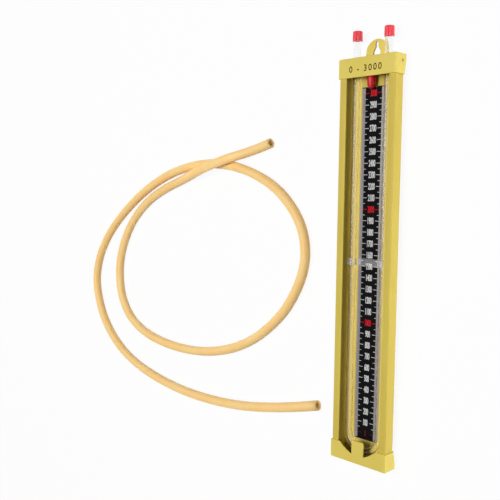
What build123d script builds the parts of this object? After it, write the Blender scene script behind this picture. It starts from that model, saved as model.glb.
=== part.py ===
"""A wall-mounted U-tube manometer, lying on its back, with its length of latex hose beside it.

Millimetres. +X is to the instrument's right, +Y runs up it towards the open glass ends, and +Z
comes out of its face. The floor that it lies on is Z = 0, and the origin is under its middle.
"""
import math
import os

from build123d import *

# Clearances
slip_fit = 0.1          # between pieces that are pushed together
slide_gap = 0.1         # under and beside the sliding scale
glass_gap = 0.1         # between the glass and what holds it
shaft_gap = 0.05        # round a screw or spindle that turns
safe_gap = 0.3          # between a moving piece and its stop

# Glass U-tube
tube_diameter = 7.0
tube_wall = 1.0
leg_spacing = 33.0
bend_height = 27.0      # centre of the bend above the lower end
glass_rise = 22.8       # glass that stands out of the top cap
rim_chamfer = 0.3

# Printed scale: 1 mm of water is 9.807 pascals, so 3000 pascals are 305.9 mm
scale_full_value = 3000.0
pascals_per_millimetre = 9.807
scale_width = 24.0
scale_thickness = 0.5
scale_corner_radius = 1.0
zero_height = 25.9      # zero mark above the lower end
head_room = 30.2        # from the full-scale mark to the upper end
scale_top_margin = 5.5
scale_bottom_margin = 6.0

# Extruded side rails
rail_width = 7.0
rail_depth = 12.7
rail_wall = 1.4
rail_front_radius = 3.5
rail_back_radius = 2.0
rail_edge_radius = 1.5
chamber_radius = 0.6
glass_to_rail = 2.0

# Back panel, whose tongues slide into the rails
panel_thickness = 1.5
tongue_thickness = 0.8
tongue_depth = 2.5
guide_rib_width = 0.8
guide_rib_height = 0.6

# End caps
cap_side_wall = 0.9
cap_front_wall = 1.1
cap_back_wall = 1.0
cap_end_wall = 3.0
cap_corner_radius = 3.0
cap_chamfer = 0.5
foot_height = 2.2       # the caps' backs stand this far off the floor at their inner ends
foot_land = 5.0         # flat length of each foot
frame_end_gap = 1.4
top_cap_length = 17.1
bottom_cap_length = 16.3
wing_width = 10.5       # the lower cap's full-height shoulders
notch_floor = 8.1       # of the cut-outs between shoulders and tab, above the lower end
notch_sag = 0.9
tab_width = 12.8
tab_height = 20.9       # above the lower end
tab_thickness = 1.8
tab_corner_radius = 1.8
tab_rib_width = 3.0

# Hanging loop
loop_width = 23.2
loop_height = 16.7      # above the top cap
loop_thickness = 1.8
loop_floor_gap = 0.7
loop_root = 4.8
keyhole_width = 7.4
keyhole_neck = 3.0
keyhole_shoulder = 6.0  # straight part of the wide opening
keyhole_top = 14.6
loop_chamfer = 0.4

# Zero adjuster: a red knob on a fixed M4 x 0.7 screw, whose groove carries the scale's lip
screw_diameter = 4.0
screw_head_diameter = 7.5
screw_head_height = 2.2
screw_slot_width = 1.0
screw_slot_depth = 1.0
washer_diameter = 9.0
washer_thickness = 0.8
nut_across_flats = 7.0
nut_height = 3.2
knob_axis_height = 9.3  # above the floor
knob_diameter = 8.2
knob_waist_diameter = 6.8
knob_head_diameter = 6.2
knob_neck_diameter = 3.4
knob_tip = 2.6          # knob below its groove
knob_body = 12.3        # knob above its groove
knob_taper_share = 0.62
knob_bore_floor = 1.7
screw_grip = 5.0        # thread inside the knob with the scale at its lowest
lip_width = 6.6
lip_reach = 1.5         # beyond the knob's axis

# Tube end caps
plug_length = 9.3
plug_end_wall = 1.2
plug_end_gap = 0.3
plug_rim_diameter = 9.0
plug_top_diameter = 8.0
plug_ribs = 10
flute_radius = 1.0
flute_depth = 0.42

# Rubber grommets in the top cap, and the cushion under the bend
grommet_wall = 1.1
grommet_flange = 0.6
grommet_flange_thickness = 1.1
cushion_width = 11.0

# Clear clip across the middle
clip_height = 182.5     # its centre above the lower end
clip_width = 6.2
clip_wall = 1.2
clip_bar_thickness = 2.6
clip_scale_gap = 0.4
clip_groove_width = 1.1
clip_groove_depth = 0.7
clip_barb = 0.6

# Drive pins through the top cap's sides
pin_diameter = 1.8
pin_head_diameter = 2.4
pin_head_height = 0.4
pin_length = 4.0
pin_from_end = 5.9
pin_above_chamber = 1.2

# Latex hose, lying loose
hose_diameter = 10.0
hose_arc_share = 0.45
hose_hump = 15.4        # height of the hose's middle where it passes over itself

# Worked out across the instrument
leg_x = leg_spacing / 2
tube_radius = tube_diameter / 2
channel_half = leg_x + tube_radius + glass_to_rail
frame_half = channel_half + rail_width
cap_half = frame_half + slip_fit + cap_side_wall

# Worked out from the floor up
frame_back = foot_height + cap_back_wall + slip_fit
panel_front = frame_back + panel_thickness
rail_front = frame_back + rail_depth
cap_front = rail_front + slip_fit + cap_front_wall
tube_z = panel_front + glass_gap + tube_radius
scale_back = panel_front + slide_gap
scale_front = scale_back + scale_thickness

# Worked out along the instrument
scale_span = scale_full_value / pascals_per_millimetre
body_length = zero_height + scale_span + head_room
bottom_end = -(body_length + glass_rise + plug_end_gap + plug_end_wall) / 2
top_end = bottom_end + body_length
zero_y = bottom_end + zero_height
scale_low = zero_y - scale_bottom_margin
scale_high = zero_y + scale_span + scale_top_margin
bend_y = bottom_end + bend_height
glass_top = top_end + glass_rise
inner_low = bottom_end + cap_end_wall
inner_high = top_end - cap_end_wall
frame_low = inner_low + frame_end_gap
frame_high = inner_high - frame_end_gap
clip_y = bottom_end + clip_height
groove_low = scale_high - scale_thickness - slide_gap
groove_high = scale_high + slide_gap
knob_top = groove_high + knob_body
nut_low = inner_high - washer_thickness - nut_height


def block(x_low, x_high, y_low, y_high, z_low, z_high):
    """A box between two corners."""
    size = (x_high - x_low, y_high - y_low, z_high - z_low)
    centre = ((x_low + x_high) / 2, (y_low + y_high) / 2, (z_low + z_high) / 2)
    return Pos(*centre) * Box(*size)


def rectangle(x_low, x_high, y_low, y_high):
    """A flat rectangle between two corners."""
    centre = ((x_low + x_high) / 2, (y_low + y_high) / 2)
    return Pos(*centre) * Rectangle(x_high - x_low, y_high - y_low)


def corner(shape, x, y):
    """The corner of a flat shape that lies nearest to a point."""
    return shape.vertices().sort_by_distance(Vector(x, y, 0))[0]


def along(section, y_low, y_high):
    """Pull a section, drawn as width and height, along the instrument."""
    place = Plane(origin=(0, y_high, 0), x_dir=(1, 0, 0), z_dir=(0, -1, 0))
    return extrude(place * section, amount=y_high - y_low)


def upright(outline, z_low, z_high):
    """Pull an outline, drawn as seen from the front, up from one height to another."""
    return extrude(Pos(0, 0, z_low) * outline, amount=z_high - z_low)


def turned(profile, x, z):
    """Turn a half profile, drawn as radius and place along the instrument, round its axis."""
    return Pos(x, 0, z) * revolve(profile, axis=Axis.Y)


def rod(x, z, y_low, y_high, radius):
    """A round bar along the instrument."""
    return Pos(x, (y_low + y_high) / 2, z) * Rot(90, 0, 0) * Cylinder(radius, y_high - y_low)


def cross_rod(x_low, x_high, y, z, radius):
    """A round bar across the instrument."""
    return Pos((x_low + x_high) / 2, y, z) * Rot(0, 90, 0) * Cylinder(radius, x_high - x_low)


def groove_heights():
    """Bottom and top of the rail's groove for the panel's tongue."""
    return panel_front - tongue_thickness - slip_fit, panel_front + slip_fit


def pin_place():
    """Height and place along the instrument of the pins in the top cap's sides."""
    chamber_floor = groove_heights()[1] + rail_wall
    return chamber_floor + pin_above_chamber, top_end - pin_from_end


def rail(side):
    """A hollow extruded rail, with a big round on its inner front edge and a groove behind."""
    outline = rectangle(channel_half, frame_half, frame_back, rail_front)
    outline = fillet(corner(outline, frame_half, frame_back), rail_back_radius)
    outline = fillet(corner(outline, frame_half, rail_front), rail_edge_radius)
    outline = fillet(corner(outline, channel_half, rail_front), rail_front_radius)
    groove_low_z, groove_high_z = groove_heights()
    groove = rectangle(channel_half - rail_wall, channel_half + tongue_depth + slip_fit,
                       groove_low_z, groove_high_z)
    left, right = channel_half + rail_wall, frame_half - rail_wall
    low, high = groove_high_z + rail_wall, rail_front - rail_wall
    chamber = rectangle(left, right, low, high)
    chamber = fillet(corner(chamber, left, high), rail_front_radius - rail_wall)
    chamber = fillet(corner(chamber, left, low), chamber_radius)
    chamber = fillet(corner(chamber, right, low), chamber_radius)
    chamber = fillet(corner(chamber, right, high), chamber_radius)
    body = along(outline - groove - chamber, frame_low, frame_high)
    pin_z, pin_y = pin_place()
    body -= cross_rod(right - rail_wall, frame_half + slip_fit, pin_y, pin_z,
                      pin_diameter / 2 + shaft_gap)
    return body if side > 0 else mirror(body, about=Plane.YZ)


def panel_slots():
    """Cuts that the clip's two legs pass through."""
    low, high = clip_y - clip_width / 2 - slip_fit, clip_y + clip_width / 2 + slip_fit
    inner, outer = clip_leg()
    cut = block(inner - slip_fit, outer + slip_fit, low, high, 0, rail_front)
    return cut + mirror(cut, about=Plane.YZ)


def back_panel():
    """The flat panel between the rails, with ribs that guide the scale and two clip slots."""
    half = channel_half - slip_fit
    section = rectangle(-half, half, frame_back, panel_front)
    tongue = channel_half + tongue_depth
    section += rectangle(-tongue, tongue, panel_front - tongue_thickness, panel_front)
    body = along(section, frame_low, frame_high)
    rib_x = scale_width / 2 + slide_gap
    for side in (-1, 1):
        edges = sorted((side * rib_x, side * (rib_x + guide_rib_width)))
        body += block(*edges, bend_y + tube_radius, scale_high, frame_back,
                      panel_front + guide_rib_height)
    return body - panel_slots()


def glass_tube():
    """Two straight legs joined by a half-turn bend."""
    ring = Circle(tube_radius) - Circle(tube_radius - tube_wall)
    section = Plane(origin=(leg_x, bend_y, tube_z), x_dir=(1, 0, 0), z_dir=(0, -1, 0)) * ring
    bend = revolve(section, axis=Axis((0, bend_y, 0), (0, 0, -1)), revolution_arc=180)
    leg = along(Pos(leg_x, tube_z) * ring, bend_y, glass_top)
    leg = chamfer(leg.edges().group_by(Axis.Y)[-1], rim_chamfer)
    return bend + leg + mirror(leg, about=Plane.YZ)


def scale_plate():
    """The printed aluminium strip, whose top lip is bent forward into a fork."""
    half = scale_width / 2
    outline = rectangle(-half, half, scale_low, scale_high)
    for side in (-1, 1):
        outline = fillet(corner(outline, side * half, scale_low), scale_corner_radius)
    plate = upright(outline, scale_back, scale_front)
    lip_low = scale_high - scale_thickness
    lip = block(-lip_width / 2, lip_width / 2, lip_low, scale_high,
                scale_back, knob_axis_height + lip_reach)
    neck = knob_neck_diameter / 2 + shaft_gap
    fork = rod(0, knob_axis_height, lip_low - slide_gap, scale_high + slide_gap, neck)
    fork += block(-neck, neck, lip_low - slide_gap, scale_high + slide_gap,
                  knob_axis_height, knob_axis_height + lip_reach + slide_gap)
    return plate + (lip - fork)


def zero_knob():
    """A tapered knob with a groove near its tip and a threaded bore from its top."""
    radius, waist = knob_diameter / 2, knob_waist_diameter / 2
    neck, head = knob_neck_diameter / 2, knob_head_diameter / 2
    bore = screw_diameter / 2 + shaft_gap
    taper_start = groove_high + knob_body * knob_taper_share
    bulge = ((radius + waist) / 2 + (radius - waist) / 4, (taper_start + groove_high) / 2)
    tip_y = groove_low - knob_tip
    outline = Line((bore, knob_top), (radius, knob_top))
    outline += Line((radius, knob_top), (radius, taper_start))
    outline += ThreePointArc((radius, taper_start), bulge, (waist, groove_high))
    outline += Polyline((waist, groove_high), (neck, groove_high), (neck, groove_low),
                        (head, groove_low))
    ball = (head ** 2 + knob_tip ** 2) / (2 * knob_tip)
    half_angle = math.asin(head / ball) / 2
    dome = (ball * math.sin(half_angle), tip_y + ball - ball * math.cos(half_angle))
    outline += ThreePointArc((head, groove_low), dome, (0, tip_y))
    floor_y = groove_high + knob_bore_floor
    outline += Polyline((0, tip_y), (0, floor_y), (bore, floor_y), (bore, knob_top))
    return turned(make_face(outline), 0, knob_axis_height)


def zero_screw():
    """The countersunk screw that hangs from the top cap's end wall into the knob."""
    radius, head = screw_diameter / 2, screw_head_diameter / 2
    head_y = top_end - slip_fit
    low = knob_top - screw_grip
    outline = Polyline((0, head_y), (head, head_y), (radius, head_y - screw_head_height),
                       (radius, low), (0, low), close=True)
    screw = turned(make_face(outline), 0, knob_axis_height)
    half = screw_slot_width / 2
    slot = block(-head, head, head_y - screw_slot_depth, head_y + slip_fit,
                 knob_axis_height - half, knob_axis_height + half)
    return screw - slot


def zero_washer():
    """The washer between the end wall and the nut."""
    low = inner_high - washer_thickness
    ring = rod(0, knob_axis_height, low, inner_high, washer_diameter / 2)
    return ring - rod(0, knob_axis_height, low, inner_high, screw_diameter / 2 + shaft_gap)


def zero_nut():
    """The hexagon nut that locks the screw to the end wall."""
    hexagon = Pos(0, knob_axis_height) * RegularPolygon(nut_across_flats / 2, 6, major_radius=False)
    nut = along(hexagon, nut_low, nut_low + nut_height)
    return nut - rod(0, knob_axis_height, nut_low, nut_low + nut_height,
                     screw_diameter / 2 + shaft_gap)


def cap_shell(length):
    """A cap that opens upwards from the lower end: its foot is flat at the end, then slopes."""
    inner = bottom_end + length
    side_view = Polyline((bottom_end, 0), (bottom_end + foot_land, 0), (inner, foot_height),
                         (inner, cap_front), (bottom_end, cap_front), close=True)
    place = Plane(origin=(-cap_half, 0, 0), x_dir=(0, 1, 0), z_dir=(1, 0, 0))
    shell = extrude(place * make_face(side_view), amount=2 * cap_half)
    long_edges = [edge for edge in shell.edges()
                  if abs(edge.center().X) > cap_half - slip_fit
                  and edge.bounding_box().size.Y > foot_land / 2]
    shell = fillet(long_edges, cap_corner_radius)
    end_rim = shell.edges().group_by(Axis.Y)[0]
    shell = chamfer(end_rim, cap_chamfer)
    socket = rectangle(-frame_half - slip_fit, frame_half + slip_fit,
                       frame_back - slip_fit, rail_front + slip_fit)
    for side in (-1, 1):
        socket = fillet(corner(socket, side * frame_half, frame_back), rail_back_radius)
        socket = fillet(corner(socket, side * frame_half, rail_front), rail_edge_radius)
    return shell - along(socket, inner_low, inner + slip_fit)


def tab_outline():
    """The lower cap's face, from its end to the shoulders, with the tab between two cut-outs."""
    shoulder_x, shoulder_y = cap_half - wing_width, bottom_end + bottom_cap_length
    tab_x, floor_y, tab_y = tab_width / 2, bottom_end + notch_floor, bottom_end + tab_height
    middle = ((shoulder_x + tab_x) / 2, (shoulder_y + floor_y) / 2 - notch_sag)
    cut = Line((shoulder_x, shoulder_y), (shoulder_x, tab_y))
    cut += Line((shoulder_x, tab_y), (tab_x, tab_y))
    cut += Line((tab_x, tab_y), (tab_x, floor_y))
    cut += ThreePointArc((tab_x, floor_y), middle, (shoulder_x, shoulder_y))
    notch = make_face(cut)
    tab = rectangle(-tab_x, tab_x, floor_y, tab_y)
    for side in (-1, 1):
        tab = fillet(corner(tab, side * tab_x, tab_y), tab_corner_radius)
    return notch + mirror(notch, about=Plane.YZ), tab


def bottom_cap():
    """The lower cap: shoulders over the rails, and a tab in front of the glass bend."""
    shell = cap_shell(bottom_cap_length)
    notch, tab = tab_outline()
    shell -= upright(notch, rail_front, cap_front + slip_fit)
    shell += upright(tab, cap_front - tab_thickness, cap_front)
    rib_back = tube_z + tube_radius + glass_gap
    rib_top = bottom_end + tab_height - tab_corner_radius
    rib_half = tab_rib_width / 2
    shell += block(-rib_half, rib_half, inner_low, rib_top, rib_back, cap_front - tab_thickness)
    return shell


def top_cap():
    """The upper cap: two glass holes, the zero screw's seat, the loop's slot and two pin holes."""
    shell = cap_shell(top_cap_length)
    middle = (bottom_end + top_end) / 2
    shell = mirror(shell, about=Plane(origin=(0, middle, 0), x_dir=(1, 0, 0), z_dir=(0, 1, 0)))
    past = slip_fit
    for side in (-1, 1):
        shell -= rod(side * leg_x, tube_z, inner_high - past, top_end + past,
                     tube_radius + grommet_wall)
        pin_z, pin_y = pin_place()
        wall = sorted((side * (frame_half - rail_wall), side * (cap_half + past)))
        shell -= cross_rod(*wall, pin_y, pin_z, pin_diameter / 2 + shaft_gap)
        head = sorted((side * (cap_half - pin_head_height), side * (cap_half + past)))
        shell -= cross_rod(*head, pin_y, pin_z, pin_head_diameter / 2 + shaft_gap)
    radius = screw_diameter / 2 + shaft_gap
    wide = screw_head_diameter / 2 + shaft_gap
    seat = Polyline((0, top_end + past), (wide, top_end + past), (wide, top_end - slip_fit),
                    (radius, top_end - slip_fit - screw_head_height), (radius, inner_high - past),
                    (0, inner_high - past), close=True)
    shell -= turned(make_face(seat), 0, knob_axis_height)
    half = loop_width / 2 + slip_fit
    slot_low = loop_floor_gap - slip_fit
    return shell - block(-half, half, top_end - loop_root - slip_fit, top_end + past,
                         slot_low, loop_floor_gap + loop_thickness + slip_fit)


def hanging_loop():
    """The flat hanger, with an opening that narrows to a neck for a nail."""
    radius = loop_width / 2
    spring_y = top_end + loop_height - radius
    arch = Pos(0, spring_y) * Circle(radius)
    arch -= rectangle(-radius, radius, spring_y - radius, spring_y)
    outline = rectangle(-radius, radius, top_end - loop_root, spring_y) + arch
    wide, neck = keyhole_width / 2, keyhole_neck / 2
    shoulder_y = top_end + keyhole_shoulder
    neck_y = top_end + keyhole_top - neck
    hole = Polyline((-wide, top_end), (wide, top_end), (wide, shoulder_y), (neck, shoulder_y + wide),
                    (neck, neck_y), (-neck, neck_y), (-neck, shoulder_y + wide),
                    (-wide, shoulder_y), close=True)
    keyhole = make_face(hole)
    for side in (-1, 1):
        keyhole = fillet(corner(keyhole, side * wide, shoulder_y), neck)
        keyhole = fillet(corner(keyhole, side * neck, shoulder_y + wide), neck)
    keyhole += Pos(0, neck_y) * Circle(neck)
    plate = upright(outline - keyhole, loop_floor_gap, loop_floor_gap + loop_thickness)
    outer = [edge for edge in plate.edges()
             if edge.geom_type == GeomType.CIRCLE and edge.radius > radius - slip_fit]
    return chamfer(outer, loop_chamfer)


def bend_cushion():
    """The rubber saddle that the glass bend rests on."""
    half = cushion_width / 2
    top = bend_y - leg_x
    body = block(-half, half, inner_low, top, panel_front + slip_fit, tube_z + tube_radius)
    hollow = leg_x + tube_radius + glass_gap
    return body - Pos(0, bend_y, tube_z) * Cylinder(hollow, 2 * tube_diameter)


def tube_grommet(side):
    """A rubber bush in the top cap, with a flange behind the end wall."""
    x = side * leg_x
    hole = tube_radius + glass_gap
    outer = tube_radius + grommet_wall - slip_fit
    bush = rod(x, tube_z, inner_high, top_end - slip_fit, outer)
    bush += rod(x, tube_z, inner_high - grommet_flange_thickness, inner_high,
                tube_radius + grommet_wall + grommet_flange)
    return bush - rod(x, tube_z, inner_high - 2 * grommet_flange_thickness, top_end, hole)


def tube_plug(side):
    """A ribbed red cap over a glass end."""
    rim, top = plug_rim_diameter / 2, plug_top_diameter / 2
    high = glass_top + plug_end_gap + plug_end_wall
    low = high - plug_length
    bore = tube_radius + shaft_gap
    floor = glass_top + plug_end_gap
    outline = Polyline((bore, low), (rim, low), (top, high), (0, high), (0, floor),
                       (bore, floor), close=True)
    plug = revolve(make_face(outline), axis=Axis.Y)
    taper = math.degrees(math.atan2(rim - top, plug_length))
    reach = (rim + top) / 2 + flute_radius - flute_depth
    flute = Rot(0, 0, taper) * Rot(90, 0, 0) * Cylinder(flute_radius, 2 * plug_length)
    flute = Pos(reach, (low + high) / 2, 0) * flute
    for number in range(plug_ribs):
        plug -= Rot(0, number * 360 / plug_ribs, 0) * flute
    return Pos(side * leg_x, 0, tube_z) * plug


def clip_leg():
    """Inner and outer faces of the clip's right leg."""
    inner = leg_x + tube_radius + glass_gap
    return inner, inner + clip_wall


def centre_clip():
    """The clear clip: a grooved bar, an arch over each glass leg, and two legs with barbs."""
    inner, outer = clip_leg()
    hole = tube_radius + glass_gap
    arch_radius = hole + clip_wall
    bar_low = scale_front + clip_scale_gap
    bar_high = bar_low + clip_bar_thickness
    bar_end = leg_x - hole
    section = rectangle(-leg_x, leg_x, bar_low, bar_high)
    for side in (-1, 1):
        arch = Pos(side * leg_x, tube_z) * Circle(arch_radius)
        legs = rectangle(leg_x, outer, frame_back - clip_barb, tube_z)
        barb = rectangle(inner, outer + clip_barb, frame_back - slip_fit - clip_barb,
                         frame_back - slip_fit)
        barb = chamfer(corner(barb, outer + clip_barb, frame_back - slip_fit - clip_barb),
                       clip_barb / 2)
        legs += barb
        section += arch - rectangle(-frame_half, frame_half, -tube_z, bar_low)
        section += legs if side > 0 else mirror(legs, about=Plane.YZ)
    for side in (-1, 1):
        section -= Pos(side * leg_x, tube_z) * Circle(hole)
        space = rectangle(leg_x - hole, inner, -tube_z, tube_z)
        section -= space if side > 0 else mirror(space, about=Plane.YZ)
    low, high = clip_y - clip_width / 2, clip_y + clip_width / 2
    clip = along(section, low, high)
    for side in (-1, 1):
        groove_y = clip_y + side * clip_width / 4
        half = clip_groove_width / 2
        clip -= block(-bar_end + clip_wall, bar_end - clip_wall, groove_y - half, groove_y + half,
                      bar_high - clip_groove_depth, bar_high + clip_wall)
    return clip


def cap_pins():
    """The two drive pins that hold the top cap on the rails."""
    pin_z, pin_y = pin_place()
    shank = cross_rod(cap_half - slip_fit - pin_length, cap_half - slip_fit, pin_y, pin_z,
                      pin_diameter / 2)
    shank += cross_rod(cap_half - pin_head_height, cap_half - slip_fit, pin_y, pin_z,
                       pin_head_diameter / 2)
    return Compound(children=[shank, mirror(shank, about=Plane.YZ)])


# The hose's route over the floor, from its upper end, chosen by eye: points that its bends turn at
rest_height = hose_diameter / 2
hose_route = [
    (-123, 100, rest_height), (-148, 93, rest_height), (-179, 85, hose_hump),
    (-217, 75.3, hose_hump), (-256, 65, rest_height), (-293, 53.5, rest_height),
    (-329, 37, rest_height), (-362, 9, rest_height), (-383, -28, rest_height),
    (-387, -63, rest_height), (-377, -95, rest_height), (-349, -119, rest_height),
    (-298, -132, rest_height), (-224, -132, rest_height), (-157, -113, rest_height),
    (-107, -77, rest_height), (-81, -39, rest_height), (-73, -6, rest_height),
    (-84, 28, rest_height), (-120, 61, rest_height), (-184, 82, rest_height),
    (-254, 80, rest_height), (-320, 58, rest_height), (-377, 23, rest_height),
    (-415, -11, rest_height), (-436, -45, rest_height), (-440, -79, rest_height),
    (-420, -125, rest_height), (-369, -163, rest_height), (-283, -182, rest_height),
    (-192, -183, rest_height), (-110, -170, rest_height), (-56, -154, rest_height),
]


def bend_radii(points):
    """The largest arc that each corner of a route has room for."""
    radii = []
    for before, here, after in zip(points, points[1:], points[2:]):
        run_in = Vector(*here) - Vector(*before)
        run_out = Vector(*after) - Vector(*here)
        half_turn = math.radians(run_in.get_angle(run_out)) / 2
        shorter = min(run_in.length, run_out.length)
        radii.append(hose_arc_share * shorter / math.tan(half_turn))
    return radii


def latex_hose():
    """The hose's outer shape, along straight runs joined by arcs."""
    radii = bend_radii(hose_route)
    path = FilletPolyline(*hose_route, radius=radii)
    start = Plane(origin=path @ 0, z_dir=path % 0)
    hose = sweep(start * Circle(hose_diameter / 2), path=path)
    section_area = math.pi * hose_diameter ** 2 / 4
    print("hose radii", [round(radius) for radius in radii])
    print("hose length", round(path.length, 1), "volume over section times length",
          round(hose.volume / (section_area * path.length), 4))
    return hose


parts = {
    "rail_left": rail(-1),
    "rail_right": rail(1),
    "back_panel": back_panel(),
    "glass_tube": glass_tube(),
    "scale_plate": scale_plate(),
    "zero_knob": zero_knob(),
    "zero_screw": zero_screw(),
    "zero_washer": zero_washer(),
    "zero_nut": zero_nut(),
    "top_cap": top_cap(),
    "bottom_cap": bottom_cap(),
    "hanging_loop": hanging_loop(),
    "bend_cushion": bend_cushion(),
    "grommet_left": tube_grommet(-1),
    "grommet_right": tube_grommet(1),
    "tube_plug_left": tube_plug(-1),
    "tube_plug_right": tube_plug(1),
    "centre_clip": centre_clip(),
    "cap_pins": cap_pins(),
    "latex_hose": latex_hose(),
}

os.makedirs("parts", exist_ok=True)
for name, shape in parts.items():
    export_step(shape, f"parts/{name}.step")
    print(name, round(shape.volume, 1))
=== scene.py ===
# %% [markdown]
# A U-tube manometer for a classroom wall: glass bent into a U and held in a yellow plastic channel, with a
# printed scale between its legs. The CAD frame gives every rigid piece its size and place, so it is loaded
# first and is never moved. Lengths are metres; one helper value turns millimetres, easier to read, into them.
# %% Load the frame
import math

import bmesh
import bpy
from mathutils import Matrix, Vector


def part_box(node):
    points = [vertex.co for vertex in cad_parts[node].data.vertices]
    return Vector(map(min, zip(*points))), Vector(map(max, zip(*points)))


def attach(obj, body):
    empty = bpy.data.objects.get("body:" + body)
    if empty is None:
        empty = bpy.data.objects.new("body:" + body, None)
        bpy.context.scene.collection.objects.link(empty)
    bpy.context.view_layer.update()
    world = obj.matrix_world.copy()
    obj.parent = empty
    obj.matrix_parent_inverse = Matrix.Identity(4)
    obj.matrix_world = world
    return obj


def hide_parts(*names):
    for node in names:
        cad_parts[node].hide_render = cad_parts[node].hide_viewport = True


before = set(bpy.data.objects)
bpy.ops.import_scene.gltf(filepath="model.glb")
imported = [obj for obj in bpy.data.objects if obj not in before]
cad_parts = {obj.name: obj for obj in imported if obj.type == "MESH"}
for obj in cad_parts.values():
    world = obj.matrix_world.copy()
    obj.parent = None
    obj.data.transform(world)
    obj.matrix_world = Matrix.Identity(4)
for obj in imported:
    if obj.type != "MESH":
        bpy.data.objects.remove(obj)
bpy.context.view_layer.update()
mm = 0.001

# %% [markdown]
# The instrument lies on its back and the camera looks down at its face from the right, 45 degrees over.
# A 50 mm lens keeps the far rail nearly as wide as the near one, as a product photograph does. The place
# and the turn were found by matching the ends of the printed scale and the corners of both end caps.
# %% Camera
sensor_width = 36.0
picture_width = 500
focal_pixels = 700
camera_place = Vector((362.1, 51.1, 522.7)) * mm
camera_turn = [math.radians(angle) for angle in (-4.102, 44.785, 0.931)]

lens = bpy.data.cameras.new("photo_camera")
lens.sensor_width = sensor_width
lens.lens = sensor_width * focal_pixels / picture_width
lens.clip_start = 10 * mm
camera = bpy.data.objects.new("photo_camera", lens)
camera.location = camera_place
camera.rotation_euler = camera_turn
bpy.context.scene.collection.objects.link(camera)
bpy.context.scene.camera = camera
print("lens", round(lens.lens, 2), "mm")

# %% [markdown]
# The hose is amber latex, 10 mm across, and lies in one loose loop with both ends bare. A mesh could be
# bent by hand, but a curve is better: a smooth spline through a few points has the soft, uneven bends of
# rubber that was coiled. Where it passes over itself two points are lifted, one each side of the crossing.
# %% Hose route
hose_radius = 5.0 * mm
hose_wall = 2.0 * mm
rest, hump = 5.0, 15.4
steps_per_span = 10
hose_route = [
    (-123, 100, rest), (-148, 93, rest), (-179, 85, hump), (-217, 75.3, hump), (-256, 65, rest),
    (-293, 53.5, rest), (-329, 37, rest), (-362, 9, rest), (-383, -28, rest), (-387, -63, rest),
    (-377, -95, rest), (-349, -119, rest), (-298, -132, rest), (-224, -132, rest),
    (-157, -113, rest), (-107, -77, rest), (-81, -39, rest), (-73, -6, rest), (-84, 28, rest),
    (-120, 61, rest), (-184, 82, rest), (-254, 80, rest), (-320, 58, rest), (-377, 23, rest),
    (-415, -11, rest), (-436, -45, rest), (-440, -79, rest), (-420, -125, rest),
    (-369, -163, rest), (-283, -182, rest), (-192, -183, rest), (-110, -170, rest),
    (-56, -154, rest),
]


def spline_curve(name, points):
    """A smooth open curve whose control points are the given ones, in millimetres."""
    data = bpy.data.curves.new(name, "CURVE")
    data.dimensions = "3D"
    data.resolution_u = steps_per_span
    spline = data.splines.new("NURBS")
    spline.points.add(len(points) - 1)
    for control, point in zip(spline.points, points):
        control.co = (*(Vector(point) * mm), 1)
    spline.order_u = 3
    spline.use_endpoint_u = True
    return data


hose_curve = spline_curve("hose_line", hose_route)
print("hose route", len(hose_route), "points")

# %% [markdown]
# The same curve is read twice: with no thickness, it gives the line that the hose follows, and with a round
# section it gives the outer skin. Solidify then grows the wall inwards, so the cut ends show a real bore.
# %% Hose
section_steps = 4


def link(piece):
    """Put a piece in the scene."""
    bpy.context.scene.collection.objects.link(piece)
    return piece


def mesh_of(data, name):
    """The mesh that a curve or a text makes, as it is now."""
    maker = link(bpy.data.objects.new(name, data))
    bpy.context.view_layer.update()
    graph = bpy.context.evaluated_depsgraph_get()
    mesh = bpy.data.meshes.new_from_object(maker.evaluated_get(graph))
    bpy.data.objects.remove(maker)
    mesh.name = name
    return mesh


def smooth(mesh, sharp=None):
    """Shade a mesh smoothly, apart from edges that bend by more than an angle, if one is given."""
    for face in mesh.polygons:
        face.use_smooth = True
    if sharp:
        mesh.set_sharp_from_angle(angle=sharp)


hose_line = [tuple(vertex.co) for vertex in mesh_of(hose_curve, "hose_line").vertices]
hose_curve.bevel_depth = hose_radius
hose_curve.bevel_resolution = section_steps
hose = link(bpy.data.objects.new("amber_hose", mesh_of(hose_curve, "amber_hose")))
smooth(hose.data)
wall = hose.modifiers.new("wall", "SOLIDIFY")
wall.thickness = hose_wall
wall.offset = -1
wall.use_even_offset = True
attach(hose, "instrument")
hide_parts("latex_hose")
print("hose skin", len(hose.data.polygons), "faces")

# %% [markdown]
# The other rigid pieces already have their right shapes in the CAD frame, as loose triangles. A merged copy
# lets light run smoothly over their rounds: doubles are merged, flat areas become one face, and a small
# bevel on the sharp edges catches the light as moulded plastic does. The frame's own mesh stays untouched.
# %% Smooth copies of CAD nodes
merge_distance = 0.002 * mm
flat_angle = math.radians(0.5)
sharp_angle = math.radians(35)
moulded_edge = 0.15 * mm


def piece_of(form, name):
    """Turn a form into a piece in the scene."""
    mesh = bpy.data.meshes.new(name)
    form.to_mesh(mesh)
    form.free()
    return link(bpy.data.objects.new(name, mesh))


def fine_copy(node, name, body, edge=0.0, reshape=None):
    """A merged copy of a CAD node, with its sharp edges rounded, that stands for the node."""
    form = bmesh.new()
    form.from_mesh(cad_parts[node].data)
    bmesh.ops.remove_doubles(form, verts=form.verts, dist=merge_distance)
    bmesh.ops.dissolve_limit(form, angle_limit=flat_angle, verts=form.verts, edges=form.edges)
    if reshape:
        reshape(form)
    piece = piece_of(form, name)
    smooth(piece.data, sharp_angle)
    if edge:
        rounding = piece.modifiers.new("edges", "BEVEL")
        rounding.width = edge
        rounding.segments = 2
        rounding.limit_method = "ANGLE"
        rounding.angle_limit = sharp_angle
        rounding.use_clamp_overlap = False
        rounding.harden_normals = True
    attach(piece, body)
    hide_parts(node)
    return piece


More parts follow.
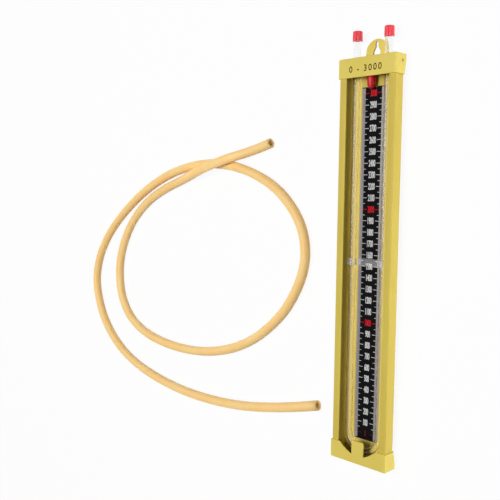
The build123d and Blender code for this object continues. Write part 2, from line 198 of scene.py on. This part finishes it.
loop = fine_copy("hanging_loop", "wall_loop", "instrument")
panel = fine_copy("back_panel", "rear_panel", "instrument", moulded_edge)
clip = fine_copy("centre_clip", "clear_clip", "instrument", moulded_edge)
print("smooth copies", loop.name, panel.name, clip.name)

# %% [markdown]
# On the real caps and rails the long front edges are tighter rounds than the frame's. A round is a quarter
# circle about an axis along the instrument. Pushing its points outwards, most of all at 45 degrees, turns it
# into a squarer round between the same two flat faces, so that nothing else on the piece has to change.
# %% Tighter front edges
cap_round = 3.0 * mm
rail_round = 3.5 * mm
rail_edge_round = 1.5 * mm
squareness = 0.85


def square_off(form, centre_x, centre_z, side):
    """Make the round whose axis runs through (centre_x, centre_z) squarer; side is where it bulges."""
    for vert in form.verts:
        out, up = (vert.co.x - centre_x) * side, vert.co.z - centre_z
        if out > 0 and up > 0:
            push = (math.hypot(out, up) / max(out, up)) ** squareness
            vert.co.x = centre_x + side * out * push
            vert.co.z = centre_z + up * push


def square_cap(form):
    """Both front edges of a cap."""
    half = max(vert.co.x for vert in form.verts)
    front = max(vert.co.z for vert in form.verts)
    for side in (-1, 1):
        square_off(form, side * (half - cap_round), front - cap_round, side)


def square_rail(form):
    """Both front edges of a rail: the wide round that looks at the glass and the outer one."""
    near = min((vert.co.x for vert in form.verts), key=abs)
    far = max((vert.co.x for vert in form.verts), key=abs)
    front = max(vert.co.z for vert in form.verts)
    side = -1 if near > 0 else 1
    square_off(form, near - side * rail_round, front - rail_round, side)
    square_off(form, far + side * rail_edge_round, front - rail_edge_round, -side)


caps = [fine_copy("top_cap", "upper_cap", "instrument", moulded_edge, square_cap),
        fine_copy("bottom_cap", "lower_cap", "instrument", moulded_edge, square_cap)]
rails = [fine_copy("rail_left", "left_rail", "instrument", moulded_edge, square_rail),
         fine_copy("rail_right", "right_rail", "instrument", moulded_edge, square_rail)]
print("squared", [piece.name for piece in caps + rails])

# %% [markdown]
# The zero knob is a smooth cone that hides the scale's bent lip behind it. Its groove and its tip are drawn
# a little smaller here, and the lip ends behind the knob's neck, so that only a fine dark ring shows.
# %% Knob and scale plate
knob_low, knob_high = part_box("zero_knob")
plate_low, plate_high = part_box("scale_plate")
knob_axis_z = (knob_low.z + knob_high.z) / 2
plate_thickness = 0.5 * mm
plate_front = plate_low.z + plate_thickness
groove_low = plate_high.y - 0.6 * mm
groove_high = plate_high.y + 0.1 * mm
groove_slack = 0.1 * mm
groove_radius = 2.7 * mm
shortest_spoke = 0.1 * mm
tip_share = 0.7
lip_start = plate_front + 0.05 * mm
lip_share = 0.2
lip_half_share = 0.5


def smooth_knob(form):
    """Fill the knob's groove to a fine ring and shorten its tip."""
    for vert in form.verts:
        spoke = Vector((vert.co.x, vert.co.z - knob_axis_z))
        in_groove = groove_low - groove_slack < vert.co.y < groove_high + groove_slack
        if in_groove and shortest_spoke < spoke.length < groove_radius:
            spoke *= groove_radius / spoke.length
            vert.co.x, vert.co.z = spoke.x, knob_axis_z + spoke.y
        if vert.co.y < groove_low:
            vert.co.y = groove_low + (vert.co.y - groove_low) * tip_share


def low_lip(form):
    """End the plate's lip behind the knob."""
    for vert in form.verts:
        if vert.co.z > lip_start:
            vert.co.z = plate_front + (vert.co.z - plate_front) * lip_share
            vert.co.x *= lip_half_share


knob = fine_copy("zero_knob", "red_knob", "knob", moulded_edge, smooth_knob)
plate = fine_copy("scale_plate", "metal_plate", "scale", reshape=low_lip)
print("knob", round((knob_high.y - knob_low.y) / mm, 1), "mm long, its axis",
      round(knob_axis_z / mm, 1), "mm up")

# %% [markdown]
# The glass is drawn tube, bent over a flame into a U. Here one ring is pulled down the right leg, swept half
# a turn round the bend and pulled up the left leg, all with operators, and Solidify gives the wall its
# millimetre. Real glass ends are softened in the flame, so the rims get a small bevel.
# %% Glass tube
glass_low, glass_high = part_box("glass_tube")
tube_radius = (glass_high.z - glass_low.z) / 2
leg_x = glass_high.x - tube_radius
tube_z = (glass_high.z + glass_low.z) / 2
bend_y = glass_low.y + leg_x + tube_radius
glass_wall = 1.0 * mm
rim_round = 0.3 * mm
rim_angle = math.radians(60)
tube_sides = 48
bend_steps = 40
leg_steps = 12


def parts_of(geom, kind):
    """The verts, edges or faces among what an operator returns."""
    return [item for item in geom if isinstance(item, kind)]


def pull(form, edges, move):
    """Extrude edges by a move and return the new ones."""
    new = bmesh.ops.extrude_edge_only(form, edges=edges)["geom"]
    bmesh.ops.translate(form, verts=parts_of(new, bmesh.types.BMVert), vec=move)
    return [edge for edge in parts_of(new, bmesh.types.BMEdge) if len(edge.link_faces) == 1]


form = bmesh.new()
upright = Matrix.Translation((leg_x, glass_high.y, tube_z)) @ Matrix.Rotation(math.radians(90), 4, "X")
bmesh.ops.create_circle(form, segments=tube_sides, radius=tube_radius, matrix=upright)
rim = list(form.edges)
leg_step = Vector((0, -(glass_high.y - bend_y) / leg_steps, 0))
for step in range(leg_steps):
    rim = pull(form, rim, leg_step)
swept = bmesh.ops.spin(form, geom=rim, cent=(0, bend_y, tube_z), axis=(0, 0, -1),
                       angle=math.pi, steps=bend_steps)["geom_last"]
rim = parts_of(swept, bmesh.types.BMEdge)
for step in range(leg_steps):
    rim = pull(form, rim, -leg_step)
bmesh.ops.remove_doubles(form, verts=form.verts, dist=merge_distance)
bmesh.ops.recalc_face_normals(form, faces=form.faces)
glass = piece_of(form, "u_glass")
smooth(glass.data)
wall = glass.modifiers.new("wall", "SOLIDIFY")
wall.thickness = glass_wall
wall.offset = -1
fire_polish = glass.modifiers.new("fire_polish", "BEVEL")
fire_polish.width = rim_round
fire_polish.segments = 3
fire_polish.limit_method = "ANGLE"
fire_polish.angle_limit = rim_angle
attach(glass, "instrument")
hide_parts("glass_tube")
print("glass legs at", round(leg_x / mm, 2), "mm, bend centre at", round(bend_y / mm, 2), "mm")

# %% [markdown]
# The two red plugs are soft vinyl caps with eight round ribs that fingers can grip. A circle with many sides
# is pushed in and out by a wave, pulled up with a slight taper, and its top is bevelled. The bore is sunk
# from below, so that the plug is a real cap over the glass and not a solid block.
# %% Red plugs
plug_ribs = 8
sides_per_rib = 12
rib_depth = 0.8 * mm
rib_fullness = 0.6
plug_radius = 4.45 * mm
plug_bore = 3.55 * mm
plug_end = 1.2 * mm
plug_taper = 0.96
plug_skirt = 0.4 * mm
plug_round = 0.7 * mm
plug_sharp_angle = math.radians(50)


def red_plug(node, name, body):
    """A ribbed cap over a glass end."""
    low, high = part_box(node)
    length = high.y - low.y - plug_skirt
    middle = Vector(((low.x + high.x) / 2, low.y + plug_skirt, (low.z + high.z) / 2))
    form = bmesh.new()
    bmesh.ops.create_circle(form, cap_ends=True, segments=plug_ribs * sides_per_rib, radius=plug_radius)
    for vert in form.verts:
        turn = math.atan2(vert.co.y, vert.co.x) * plug_ribs
        wave = abs(math.cos(turn / 2)) ** rib_fullness
        vert.co.xy *= 1 - rib_depth / plug_radius * (1 - wave)
    top = bmesh.ops.extrude_face_region(form, geom=form.faces[:])["geom"]
    top_verts = parts_of(top, bmesh.types.BMVert)
    bmesh.ops.translate(form, verts=top_verts, vec=(0, 0, length))
    bmesh.ops.scale(form, verts=top_verts, vec=(plug_taper, plug_taper, 1))
    bmesh.ops.recalc_face_normals(form, faces=form.faces)
    top_face = max(form.faces, key=lambda face: face.calc_center_median().z)
    bmesh.ops.bevel(form, geom=list(top_face.edges), offset=plug_round, segments=4, profile=0.5,
                    affect="EDGES", material=-1)
    bottom = min(form.faces, key=lambda face: face.calc_center_median().z)
    bmesh.ops.inset_region(form, faces=[bottom], thickness=plug_radius - rib_depth / 2 - plug_bore)
    for vert in bottom.verts:
        vert.co.xy = vert.co.xy.normalized() * plug_bore
    deep = bmesh.ops.extrude_face_region(form, geom=[bottom])["geom"]
    bmesh.ops.translate(form, verts=parts_of(deep, bmesh.types.BMVert), vec=(0, 0, length - plug_end))
    bmesh.ops.delete(form, geom=[bottom], context="FACES_ONLY")
    bmesh.ops.recalc_face_normals(form, faces=form.faces)
    stand = Matrix.Translation(middle) @ Matrix.Rotation(math.radians(-90), 4, "X")
    bmesh.ops.transform(form, matrix=stand, verts=form.verts)
    piece = piece_of(form, name)
    smooth(piece.data, plug_sharp_angle)
    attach(piece, body)
    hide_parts(node)
    return piece


plugs = [red_plug("tube_plug_left", "left_plug", "left_plug"),
         red_plug("tube_plug_right", "right_plug", "right_plug")]
print("plugs", [len(plug.data.polygons) for plug in plugs], "faces")

# %% [markdown]
# The scale is an aluminium strip with a black band printed down its middle. The marks are real geometry, a
# few hundredths of a millimetre thick, because a print that is only a texture blurs when it is looked at
# closely. Every mark's height comes from its pressure: 9.807 pascals for each millimetre of water.
# %% Scale marks
pascals_per_mm = 9.807
full_scale = 3000
red_every = 1000
zero_y = plate_low.y + 6.0 * mm
plate_half = plate_high.x
band_half = 8.6 * mm
border = 0.8 * mm
ink = 0.02 * mm


def height_of(pascals):
    """Where a pressure lies along the instrument."""
    return zero_y + pascals / pascals_per_mm * mm


def strip(form, x_low, x_high, y_low, y_high, level):
    """A thin printed rectangle, on a given layer of ink."""
    size = Vector((x_high - x_low, y_high - y_low, ink))
    centre = Vector(((x_low + x_high) / 2, (y_low + y_high) / 2, plate_front + (level + 0.5) * ink))
    place = Matrix.Translation(centre) @ Matrix.Diagonal((*size, 1))
    bmesh.ops.create_cube(form, size=1, matrix=place)


def printed(form, name):
    """Turn a form into a print that moves with the scale."""
    piece = piece_of(form, name)
    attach(piece, "scale")
    return piece


form = bmesh.new()
strip(form, -band_half, band_half, plate_low.y + border, plate_high.y - border, 0)
strip(form, -plate_half, plate_half, plate_high.y - border, plate_high.y, 0)
strip(form, border - plate_half, plate_half - border, plate_low.y, plate_low.y + border, 0)
black_band = printed(form, "black_band")
print("band", round(black_band.dimensions.y / mm, 1), "mm long")

# %% [markdown]
# Long ticks stand at every hundred and short ones at every fifty, from both edges of the band inwards, and
# fine dark lines at every ten run out over the bare metal. The thousands and the zero are red, and the zero
# is a darker red than the others.
# %% Ticks
fine_every, short_every, long_every = 10, 50, 100
long_tick = 4.0 * mm
short_tick = 2.1 * mm
tick_half = 0.22 * mm
fine_line_half = 0.07 * mm
long_line_gap = 0.3 * mm
short_line_gap = 1.0 * mm


def three_inks():
    """Empty forms for what is printed in white, in red and in dark red."""
    return bmesh.new(), bmesh.new(), bmesh.new()


def ink_at(pascals, white, red, zero):
    """The form that takes the marks of a pressure."""
    if pascals == 0:
        return zero
    return red if pascals % red_every == 0 else white


inks = three_inks()
dark_form = bmesh.new()
for pascals in range(0, full_scale + 1, fine_every):
    y = height_of(pascals)
    outer = plate_half - short_line_gap
    if pascals % short_every == 0:
        length = long_tick if pascals % long_every == 0 else short_tick
        form = ink_at(pascals, *inks)
        strip(form, -band_half, -band_half + length, y - tick_half, y + tick_half, 1)
        strip(form, band_half - length, band_half, y - tick_half, y + tick_half, 1)
        outer = plate_half - long_line_gap
    strip(dark_form, -outer, -band_half, y - fine_line_half, y + fine_line_half, 0)
    strip(dark_form, band_half, outer, y - fine_line_half, y + fine_line_half, 0)
white_ticks, red_ticks, zero_ticks = [
    printed(form, name) for form, name in zip(inks, ("white_ticks", "red_ticks", "zero_ticks"))]
fine_lines = printed(dark_form, "fine_lines")
print("tick faces", len(white_ticks.data.polygons), "white", len(red_ticks.data.polygons), "red")

# %% [markdown]
# The figures are tall, narrow and bold. Squeezing a whole text would thin its upright strokes, so the text
# becomes a curve first, its points are squeezed, and then the curve's own offset thickens all strokes alike.
# %% Figures
figure_size = 8.2 * mm
figure_squeeze = 0.42
figure_growth = 0.16 * mm
steps_per_stroke = 6


def flat_text(body, size, squeeze, growth, spacing=1.0):
    """A mesh of plain figures, one layer of ink thick."""
    text = bpy.data.curves.new("figures", "FONT")
    text.space_character = spacing
    text.body = body
    text.size = size
    text.align_x = "CENTER"
    text.align_y = "CENTER"
    maker = link(bpy.data.objects.new("figures", text))
    bpy.context.view_layer.update()
    graph = bpy.context.evaluated_depsgraph_get()
    outline = maker.evaluated_get(graph).to_curve(graph).copy()
    bpy.data.objects.remove(maker)
    outline.transform(Matrix.Diagonal((squeeze, 1, 1, 1)))
    outline.dimensions = "2D"
    outline.fill_mode = "BOTH"
    outline.offset = growth
    outline.extrude = ink / 2
    outline.resolution_u = steps_per_stroke
    return mesh_of(outline, "figures")


def place_text(form, mesh, centre):
    """Join a text mesh into a form, with its middle at a point."""
    xs = [vertex.co.x for vertex in mesh.vertices]
    ys = [vertex.co.y for vertex in mesh.vertices]
    middle = Vector(((min(xs) + max(xs)) / 2, (min(ys) + max(ys)) / 2, 0))
    mesh.transform(Matrix.Translation(centre - middle))
    form.from_mesh(mesh)
    bpy.data.meshes.remove(mesh)


inks = three_inks()
for pascals in range(0, full_scale + 1, long_every):
    figures = flat_text(str(pascals), figure_size, figure_squeeze, figure_growth)
    centre = Vector((0, height_of(pascals), plate_front + 1.5 * ink))
    place_text(ink_at(pascals, *inks), figures, centre)
white_figures, red_figures, zero_figure = [
    printed(form, name) for form, name in zip(inks, ("white_figures", "red_figures", "zero_figure"))]
print("figure faces", len(white_figures.data.polygons), "white", len(red_figures.data.polygons), "red")

# %% [markdown]
# The top cap of such an instrument is printed in black. Here it carries plain numbers only, the range that
# the scale covers, in thin strokes that stand wide apart.
# %% Numbers on the top cap
range_size = 7.8 * mm
range_squeeze = 0.95
range_growth = 0.08 * mm
range_spacing = 1.35
cap_low, cap_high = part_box("top_cap")
range_centre = Vector((-1.5 * mm, cap_low.y + 7.2 * mm, cap_high.z + ink / 2))

form = bmesh.new()
place_text(form, flat_text("0 - 3000", range_size, range_squeeze, range_growth, range_spacing), range_centre)
range_numbers = piece_of(form, "range_numbers")
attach(range_numbers, "instrument")
print("range numbers", round(range_numbers.dimensions.x / mm, 1), "mm wide")

# %% [markdown]
# Each material is built from nodes on object coordinates, which are true metres here, so a noise of scale
# 1000 has grains of about a millimetre. A helper makes the shader, and each finish adds what sets it apart.
# %% Material helpers
def linear(red, green, blue):
    """A screen colour of 0 to 255 as the linear colour that Blender's sockets take."""
    def channel(value):
        share = value / 255
        return share / 12.92 if share <= 0.04045 else ((share + 0.055) / 1.055) ** 2.4
    return (channel(red), channel(green), channel(blue), 1.0)


def new_finish(name, colour, roughness, metallic=0.0):
    """A material, its nodes, its links and its shader."""
    finish = bpy.data.materials.new(name)
    finish.use_nodes = True
    nodes, links = finish.node_tree.nodes, finish.node_tree.links
    shader = nodes["Principled BSDF"]
    shader.inputs["Base Color"].default_value = colour
    shader.inputs["Roughness"].default_value = roughness
    shader.inputs["Metallic"].default_value = metallic
    return finish, nodes, links, shader


def noise(nodes, links, scale, stretch=(1, 1, 1), detail=3.0):
    """A noise on object coordinates, which may be stretched along an axis."""
    place = nodes.new("ShaderNodeTexCoord")
    mapping = nodes.new("ShaderNodeMapping")
    mapping.inputs["Scale"].default_value = stretch
    links.new(place.outputs["Object"], mapping.inputs["Vector"])
    texture = nodes.new("ShaderNodeTexNoise")
    texture.inputs["Scale"].default_value = scale
    texture.inputs["Detail"].default_value = detail
    links.new(mapping.outputs["Vector"], texture.inputs["Vector"])
    return texture.outputs["Fac"]


def two_tone(nodes, links, shader, factor, dark, light, low=0.35, high=0.65):
    """Colour that drifts between two tones."""
    ramp = nodes.new("ShaderNodeValToRGB")
    ramp.color_ramp.elements[0].position = low
    ramp.color_ramp.elements[1].position = high
    ramp.color_ramp.elements[0].color = dark
    ramp.color_ramp.elements[1].color = light
    links.new(factor, ramp.inputs["Fac"])
    links.new(ramp.outputs["Color"], shader.inputs["Base Color"])


def relief(nodes, links, shader, factor, depth):
    """Fine relief from a pattern, of a given depth in metres."""
    bump = nodes.new("ShaderNodeBump")
    bump.inputs["Strength"].default_value = 1.0
    bump.inputs["Distance"].default_value = depth
    links.new(factor, bump.inputs["Height"])
    links.new(bump.outputs["Normal"], shader.inputs["Normal"])


def vary_roughness(nodes, links, shader, factor, low, high):
    """Roughness that drifts between two values."""
    remap = nodes.new("ShaderNodeMapRange")
    remap.inputs["To Min"].default_value = low
    remap.inputs["To Max"].default_value = high
    links.new(factor, remap.inputs["Value"])
    links.new(remap.outputs["Result"], shader.inputs["Roughness"])


def dress(piece, finish):
    """Give a piece one finish."""
    piece.data.materials.clear()
    piece.data.materials.append(finish)


print("a screen grey of 128 is", round(linear(128, 128, 128)[0], 3), "in linear light")

# %% [markdown]
# Three yellow plastics differ in how they were made. The caps are moulded, so they are smooth with faint
# flow marks. The rails and the panel are extruded, which leaves fine lines along their whole length.
# %% Yellow plastics
def moulded_yellow():
    """Satin moulded plastic for the caps and the loop."""
    finish, nodes, links, shader = new_finish("moulded_yellow", linear(218, 198, 92), roughness=0.45)
    cloud = noise(nodes, links, scale=45)
    two_tone(nodes, links, shader, cloud, dark=linear(216, 195, 84), light=linear(222, 201, 92))
    grain = noise(nodes, links, scale=2600, detail=4.0)
    relief(nodes, links, shader, grain, depth=0.006 * mm)
    vary_roughness(nodes, links, shader, cloud, low=0.36, high=0.48)
    return finish


def extruded_yellow(name, dark, light):
    """Plastic with fine lines along the instrument."""
    finish, nodes, links, shader = new_finish(name, light, roughness=0.45)
    lines = noise(nodes, links, scale=1400, stretch=(1, 0.01, 1), detail=4.0)
    cloud = noise(nodes, links, scale=60, stretch=(1, 0.25, 1))
    two_tone(nodes, links, shader, cloud, dark, light)
    relief(nodes, links, shader, lines, depth=0.012 * mm)
    vary_roughness(nodes, links, shader, lines, low=0.38, high=0.55)
    return finish


cap_finish = moulded_yellow()
rail_finish = extruded_yellow("extruded_yellow", dark=linear(200, 176, 66), light=linear(206, 184, 74))
panel_finish = extruded_yellow("panel_yellow", dark=linear(195, 171, 74), light=linear(203, 181, 84))
for piece in caps + [loop]:
    dress(piece, cap_finish)
for piece in rails:
    dress(piece, rail_finish)
dress(panel, panel_finish)
print("yellow finishes", cap_finish.name, rail_finish.name, panel_finish.name)

# %% [markdown]
# Clear glass and clear acrylic both bend light, and the acrylic is a touch milky besides. Real clear pieces
# cast hardly any shadow. A path tracer finds the light behind them only by chance, as noise, so here a ray
# on its way to a lamp meets a transparent shader instead of the glass.
# %% Glass and acrylic
def clear(name, colour, index, transmission):
    """A clear material that lets the lamps' light reach what lies behind it."""
    finish, nodes, links, shader = new_finish(name, colour, roughness=0.0)
    shader.inputs["Transmission Weight"].default_value = transmission
    shader.inputs["IOR"].default_value = index
    rays = nodes.new("ShaderNodeLightPath")
    window = nodes.new("ShaderNodeBsdfTransparent")
    mix = nodes.new("ShaderNodeMixShader")
    links.new(rays.outputs["Is Shadow Ray"], mix.inputs["Fac"])
    links.new(shader.outputs["BSDF"], mix.inputs[1])
    links.new(window.outputs["BSDF"], mix.inputs[2])
    links.new(mix.outputs["Shader"], nodes["Material Output"].inputs["Surface"])
    return finish


dress(glass, clear("drawn_glass", (0.96, 0.96, 0.97, 1), index=1.4, transmission=1.0))
dress(clip, clear("clear_acrylic", (0.95, 0.93, 0.94, 1), index=1.42, transmission=0.92))
print("clear pieces", glass.name, clip.name)

# %% [markdown]
# The knob is hard, glossy red plastic and the plugs are softer vinyl that lets a little light into its
# skin. A small share of subsurface light keeps the thin ribs from looking painted.
# %% Red plastics
def red_vinyl():
    """Soft red vinyl for the plugs."""
    finish, nodes, links, shader = new_finish("red_vinyl", linear(236, 40, 58), roughness=0.12)
    shader.inputs["Specular IOR Level"].default_value = 0.9
    shader.inputs["Subsurface Weight"].default_value = 0.15
    shader.inputs["Subsurface Radius"].default_value = (1.5 * mm, 0.4 * mm, 0.4 * mm)
    cloud = noise(nodes, links, scale=350)
    two_tone(nodes, links, shader, cloud, dark=linear(228, 32, 50), light=linear(240, 44, 62))
    grain = noise(nodes, links, scale=3000)
    relief(nodes, links, shader, grain, depth=0.01 * mm)
    return finish


def red_gloss():
    """Hard red plastic for the knob."""
    finish, nodes, links, shader = new_finish("red_gloss", linear(194, 20, 28), roughness=0.35)
    shader.inputs["Specular IOR Level"].default_value = 0.35
    cloud = noise(nodes, links, scale=250)
    two_tone(nodes, links, shader, cloud, dark=linear(188, 16, 24), light=linear(200, 24, 32))
    vary_roughness(nodes, links, shader, cloud, low=0.3, high=0.42)
    return finish


for plug in plugs:
    dress(plug, red_vinyl())
dress(knob, red_gloss())
print("red pieces", [piece.name for piece in plugs + [knob]])

# %% [markdown]
# The hose is natural latex: warm amber and dusted with powder, which makes it matt. A sheen stands for the
# powder and keeps its rounded sides pale, and a faint mottle keeps it from looking like paint.
# %% Latex
def latex():
    """Powdered amber latex."""
    finish, nodes, links, shader = new_finish("amber_latex", linear(255, 214, 142), roughness=0.5)
    shader.inputs["Sheen Weight"].default_value = 0.4
    shader.inputs["Sheen Roughness"].default_value = 0.5
    shader.inputs["Sheen Tint"].default_value = linear(255, 220, 160)
    mottle = noise(nodes, links, scale=60)
    two_tone(nodes, links, shader, mottle, dark=linear(255, 210, 134), light=linear(255, 217, 146))
    powder = noise(nodes, links, scale=500)
    relief(nodes, links, shader, powder, depth=0.01 * mm)
    vary_roughness(nodes, links, shader, mottle, low=0.45, high=0.62)
    return finish


dress(hose, latex())
print("hose finish", hose.data.materials[0].name)

# %% [markdown]
# The scale's strip is brushed aluminium, whose fine lines vary both its relief and its roughness. The inks
# are flat and mirror hardly anything, and each has a faint drift in tone, as a silk-screened layer has.
# %% Metal and inks
line_gloss = 0.08
line_haze = 0.1


def brushed(name, colour, roughness, metallic):
    """Metal brushed along the instrument."""
    finish, nodes, links, shader = new_finish(name, colour, roughness, metallic)
    lines = noise(nodes, links, scale=2200, stretch=(1, 0.02, 1), detail=4.0)
    relief(nodes, links, shader, lines, depth=0.01 * mm)
    vary_roughness(nodes, links, shader, lines, low=roughness - line_gloss, high=roughness + line_haze)
    return finish


def ink_of(name, dark, light, roughness):
    """Printed ink with a faint drift in tone."""
    finish, nodes, links, shader = new_finish(name, light, roughness)
    shader.inputs["Specular IOR Level"].default_value = 0.04
    drift = noise(nodes, links, scale=500)
    two_tone(nodes, links, shader, drift, dark, light)
    return finish


black_ink = ink_of("black_ink", linear(10, 10, 12), linear(15, 15, 17), roughness=0.6)
white_ink = ink_of("white_ink", linear(205, 205, 203), linear(220, 220, 218), roughness=0.5)
red_ink = ink_of("red_ink", linear(200, 28, 40), linear(214, 38, 50), roughness=0.5)
dim_red_ink = ink_of("dim_red_ink", linear(96, 22, 34), linear(108, 26, 38), roughness=0.5)
for finish, prints in ((black_ink, (black_band, fine_lines, range_numbers)),
                       (white_ink, (white_ticks, white_figures)),
                       (red_ink, (red_ticks, red_figures)),
                       (dim_red_ink, (zero_ticks, zero_figure))):
    for piece in prints:
        dress(piece, finish)
dress(plate, brushed("scale_aluminium", linear(146, 141, 143), roughness=0.5, metallic=0.3))
print("inks", black_ink.name, white_ink.name, red_ink.name, dim_red_ink.name)

# %% [markdown]
# The small parts inside are zinc-plated steel, black rubber for the grommets and natural rubber for the
# saddle under the bend. The pin heads and the saddle carry painted light. The pins' steel is made darker and
# browner than the zinc as painted shade, for heads sunk in a shallow recess. The saddle's natural-rubber tan
# is made paler as painted light, so that the shaded notch under the bend shows pale through the glass. They
# show only from the end or through the glass, but they get their finish all the same, because the model may
# be opened.
# %% Small parts
def rubber(name, colour):
    """Matt rubber with a fine grain."""
    finish, nodes, links, shader = new_finish(name, colour, roughness=0.75)
    grain = noise(nodes, links, scale=1500, detail=5.0)
    relief(nodes, links, shader, grain, depth=0.02 * mm)
    return finish


zinc = brushed("zinc_plate", linear(188, 190, 194), roughness=0.32, metallic=0.9)
# Steel darker and browner than the zinc: painted shade, for pin heads that sit in a shallow recess.
steel_painted_shade = brushed("steel_painted_shade", linear(150, 128, 84), roughness=0.55, metallic=0.4)
black_rubber = rubber("black_rubber", linear(30, 30, 31))
# Natural rubber's tan, made paler as painted light, so that the saddle in the shaded notch under the bend
# shows pale.
rubber_painted_light = rubber("rubber_painted_light", linear(214, 178, 92))
for finish, names in ((zinc, ("zero_screw", "zero_washer", "zero_nut")),
                      (steel_painted_shade, ("cap_pins",)),
                      (black_rubber, ("grommet_left", "grommet_right")),
                      (rubber_painted_light, ("bend_cushion",))):
    for name in names:
        dress(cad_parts[name], finish)
    print(finish.name, "on", *names)

# %% [markdown]
# The floor is white and matt. To the camera it glows, so that the ground is as pale as paper, but a small
# part of its colour still comes from the lamps, and that part keeps the soft shadow under the object. Mirrors
# and glass have to show the same ground, so the glow is there for their rays too.
# %% Floor
floor_half = 6
floor_drop = 0.1 * mm
floor_white = (0.86, 0.86, 0.86, 1)
floor_glow = 0.93


def seen_in_picture(nodes, links, rays):
    """1 for a ray that the picture shows: from the camera, off a glossy surface or through a clear one."""
    mirrored = nodes.new("ShaderNodeMath")
    mirrored.operation = "MAXIMUM"
    links.new(rays.outputs["Is Glossy Ray"], mirrored.inputs[0])
    links.new(rays.outputs["Is Transmission Ray"], mirrored.inputs[1])
    seen = nodes.new("ShaderNodeMath")
    seen.operation = "MAXIMUM"
    links.new(rays.outputs["Is Camera Ray"], seen.inputs[0])
    links.new(mirrored.outputs["Value"], seen.inputs[1])
    return seen.outputs["Value"]


form = bmesh.new()
bmesh.ops.create_grid(form, x_segments=1, y_segments=1, size=floor_half)
floor = piece_of(form, "floor")
floor.location.z = -floor_drop

finish, nodes, links, shader = new_finish("paper_floor", floor_white, roughness=0.9)
glow = nodes.new("ShaderNodeEmission")
rays = nodes.new("ShaderNodeLightPath")
share = nodes.new("ShaderNodeMath")
share.operation = "MULTIPLY"
share.inputs[1].default_value = floor_glow
mix = nodes.new("ShaderNodeMixShader")
links.new(seen_in_picture(nodes, links, rays), share.inputs[0])
links.new(share.outputs["Value"], mix.inputs["Fac"])
links.new(shader.outputs["BSDF"], mix.inputs[1])
links.new(glow.outputs["Emission"], mix.inputs[2])
links.new(mix.outputs["Shader"], nodes["Material Output"].inputs["Surface"])
dress(floor, finish)
print("floor", 2 * floor_half, "m across")

# %% [markdown]
# The light is that of a product table: a soft lamp straight above, and two long strips just over the floor
# that lift the sides of the caps. The channel's walls stay dark at their tops and pale towards the panel,
# because the strips can't look over the rails and only the panel throws light back at them. Glossy pieces
# mirror a weaker lamp in the key's place, the roof, which keeps the glass free of sparks of light.
# %% Lights
def soft_lamp(name, place, target, width, height, watts):
    """A rectangular lamp that looks at a point."""
    light = bpy.data.lights.new(name, "AREA")
    light.shape = "RECTANGLE"
    light.size = width
    light.size_y = height
    light.energy = watts
    lamp = link(bpy.data.objects.new(name, light))
    lamp.location = place
    lamp.rotation_euler = (Vector(target) - Vector(place)).to_track_quat("-Z", "Y").to_euler()
    lamp.visible_transmission = False
    return lamp


ground = (0, 0, 0)
rail_level = (0, 0, 0.02)
key = soft_lamp("key", (-0.15, 0.15, 1.9), ground, width=0.9, height=0.9, watts=30)
right_strip = soft_lamp("right_strip", (0.7, 0, 0.02), rail_level, width=1.4, height=0.04, watts=5.2)
left_strip = soft_lamp("left_strip", (-1.1, 0, 0.02), rail_level, width=1.4, height=0.04, watts=5)
roof = soft_lamp("roof", (-0.15, 0.15, 1.8), ground, width=0.7, height=1.0, watts=17)
for lamp in (key, right_strip, left_strip):
    lamp.visible_glossy = False
roof.visible_diffuse = False
print("lamps", [lamp.name for lamp in (key, right_strip, left_strip, roof)])

# %% [markdown]
# The world is a white tent. The picture shows it at full white, while the object gets only a faint fill from
# it. A ray that has already met a matt surface counts as fill, even if it then passes through the glass.
# %% World
tent_fill = 0.12
tent_white = 1.0

world = bpy.data.worlds.new("tent")
bpy.context.scene.world = world
world.use_nodes = True
nodes, links = world.node_tree.nodes, world.node_tree.links
nodes["Background"].inputs["Color"].default_value = (1, 1, 1, 1)
rays = nodes.new("ShaderNodeLightPath")
direct = nodes.new("ShaderNodeMath")
direct.operation = "SUBTRACT"
direct.use_clamp = True
strength = nodes.new("ShaderNodeMapRange")
strength.inputs["To Min"].default_value = tent_fill
strength.inputs["To Max"].default_value = tent_white
links.new(seen_in_picture(nodes, links, rays), direct.inputs[0])
links.new(rays.outputs["Diffuse Depth"], direct.inputs[1])
links.new(direct.outputs["Value"], strength.inputs["Value"])
links.new(strength.outputs["Result"], nodes["Background"].inputs["Strength"])
bpy.context.scene.view_settings.view_transform = "Standard"
print("tent", tent_fill, "to", tent_white)
